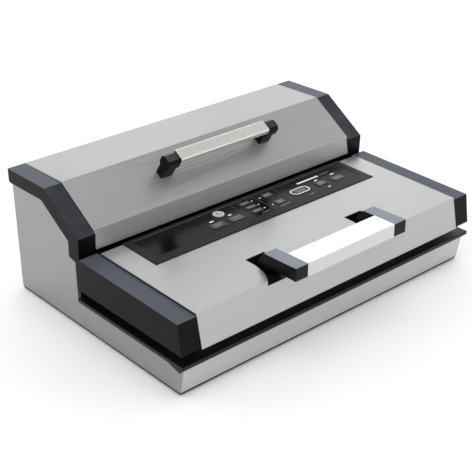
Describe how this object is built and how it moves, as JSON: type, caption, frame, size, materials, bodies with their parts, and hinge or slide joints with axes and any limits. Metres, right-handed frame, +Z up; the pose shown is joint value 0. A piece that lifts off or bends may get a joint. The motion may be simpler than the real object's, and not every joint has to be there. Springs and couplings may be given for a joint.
{
  "type": "vacuum sealer",
  "caption": "Countertop vacuum sealer with a hinged front lid, a locking lever, a key panel and a covered film roll bay behind it.",
  "frame": {"origin": "under the middle of the appliance, on the surface that the feet stand on", "axes": "+Z up, -Y towards the user and the front lid's lever, +X to the user's right"},
  "size_m": [0.489, 0.3616, 0.1843],
  "materials": {
    "steel": "fine grain along the width",
    "bar_steel": "bright brushed",
    "screw_steel": "bright plated",
    "black_plastic": "fine matte texture",
    "grey_plastic": "smooth matte",
    "panel_black": "gloss",
    "key_grey": "satin",
    "key_light": "satin",
    "lamp": "clear lens",
    "rubber": "matte",
    "hose_rubber": "smooth",
    "silicone": "smooth",
    "foam": "closed-cell foam",
    "tape": "non-stick coated glass cloth",
    "aluminium": "extruded",
    "heater_alloy": "rolled strip",
    "motor_metal": "plain",
    "core_iron": "laminated",
    "board": "solder mask"
  },
  "bodies": {
    "casing": {"base_plate": "black_plastic", "feet": "rubber", "case_screws": "screw_steel", "side_panel_left": "steel", "side_panel_right": "steel", "rear_panel": "steel", "front_band": "steel", "deck": "black_plastic", "vacuum_channel": "black_plastic", "seal_bar": "aluminium", "heater_strips": "heater_alloy", "ptfe_tape": "tape", "lower_gasket": "foam", "roll_tray": "black_plastic", "cutter_rail": "grey_plastic", "vacuum_pump": "motor_metal", "vacuum_hose": "hose_rubber", "transformer": "core_iron", "power_board": "board", "mains_inlet": "black_plastic", "lid_hinge_ears": "screw_steel", "hinge_pins": "screw_steel", "casing_hinge_leaves": "steel", "latch_catches": "black_plastic"},
    "tray": {"drip_tray": "grey_plastic"},
    "cutter": {"cutter_slider": "black_plastic", "cutter_blade": "screw_steel"},
    "roll_cover": {"roll_cover_sheet": "steel", "roll_cover_cap_left": "black_plastic", "roll_cover_cap_right": "black_plastic", "handle_brackets": "black_plastic", "handle_screws": "screw_steel", "handle_bar": "bar_steel", "cover_hinge_leaves": "steel"},
    "front_lid": {"lid_sheet": "steel", "lid_cap_left": "black_plastic", "lid_cap_right": "black_plastic", "lid_liner": "black_plastic", "vacuum_dome": "black_plastic", "upper_gasket": "foam", "pressure_strip": "silicone", "slot_cups": "black_plastic", "panel_bezel": "black_plastic", "panel_fascia": "panel_black", "control_board": "board", "indicator_leds": "lamp"},
    "lever": {"lever_arms": "black_plastic", "lever_bar": "bar_steel", "lever_shaft": "screw_steel"},
    "body_power_key": {"power_key": "key_light"},
    "body_seal_key": {"seal_key": "key_grey"},
    "body_stop_key": {"stop_key": "key_grey"},
    "body_program_key_1": {"program_key_1": "key_grey"},
    "body_program_key_2": {"program_key_2": "key_grey"},
    "body_program_key_3": {"program_key_3": "key_grey"},
    "body_food_key": {"food_key": "key_grey"},
    "body_pressure_key": {"pressure_key": "key_grey"},
    "body_vacuum_key": {"vacuum_key": "key_light"},
    "body_marinate_key": {"marinate_key": "key_grey"},
    "body_pulse_key": {"pulse_key": "key_grey"}
  },
  "joints": [
    {"name": "front_lid_hinge", "type": "hinge", "parent": "casing", "child": "front_lid", "pos_m": [0, 0.0245, 0.096], "axis": [-1, 0, 0], "range_deg": [0, 60]},
    {"name": "roll_cover_hinge", "type": "hinge", "parent": "casing", "child": "roll_cover", "pos_m": [0, 0.1768, 0.1535], "axis": [-1, 0, 0], "range_deg": [0, 95]},
    {"name": "lever_pivot", "type": "hinge", "parent": "front_lid", "child": "lever", "pos_m": [0, -0.116, 0.084], "axis": [-1, 0, 0], "range_deg": [-6, 40]},
    {"name": "drip_tray_lift", "type": "slide", "parent": "casing", "child": "tray", "axis": [0, 0, 1], "range_m": [0, 0.025]},
    {"name": "cutter_slide", "type": "slide", "parent": "casing", "child": "cutter", "axis": [1, 0, 0], "range_m": [0, 0.4]},
    {"name": "power_key_press", "type": "slide", "parent": "front_lid", "child": "body_power_key", "axis": [0, 0.0198, -0.9998], "range_m": [0, 0.0006], "stiffness_N_per_m": 200},
    {"name": "seal_key_press", "type": "slide", "parent": "front_lid", "child": "body_seal_key", "axis": [0, 0.0198, -0.9998], "range_m": [0, 0.0006], "stiffness_N_per_m": 200},
    {"name": "stop_key_press", "type": "slide", "parent": "front_lid", "child": "body_stop_key", "axis": [0, 0.0198, -0.9998], "range_m": [0, 0.0006], "stiffness_N_per_m": 200},
    {"name": "program_key_1_press", "type": "slide", "parent": "front_lid", "child": "body_program_key_1", "axis": [0, 0.0198, -0.9998], "range_m": [0, 0.0006], "stiffness_N_per_m": 200},
    {"name": "program_key_2_press", "type": "slide", "parent": "front_lid", "child": "body_program_key_2", "axis": [0, 0.0198, -0.9998], "range_m": [0, 0.0006], "stiffness_N_per_m": 200},
    {"name": "program_key_3_press", "type": "slide", "parent": "front_lid", "child": "body_program_key_3", "axis": [0, 0.0198, -0.9998], "range_m": [0, 0.0006], "stiffness_N_per_m": 200},
    {"name": "food_key_press", "type": "slide", "parent": "front_lid", "child": "body_food_key", "axis": [0, 0.0198, -0.9998], "range_m": [0, 0.0006], "stiffness_N_per_m": 200},
    {"name": "pressure_key_press", "type": "slide", "parent": "front_lid", "child": "body_pressure_key", "axis": [0, 0.0198, -0.9998], "range_m": [0, 0.0006], "stiffness_N_per_m": 200},
    {"name": "vacuum_key_press", "type": "slide", "parent": "front_lid", "child": "body_vacuum_key", "axis": [0, 0.0198, -0.9998], "range_m": [0, 0.0006], "stiffness_N_per_m": 200},
    {"name": "marinate_key_press", "type": "slide", "parent": "front_lid", "child": "body_marinate_key", "axis": [0, 0.0198, -0.9998], "range_m": [0, 0.0006], "stiffness_N_per_m": 200},
    {"name": "pulse_key_press", "type": "slide", "parent": "front_lid", "child": "body_pulse_key", "axis": [0, 0.0198, -0.9998], "range_m": [0, 0.0006], "stiffness_N_per_m": 200}
  ]
}
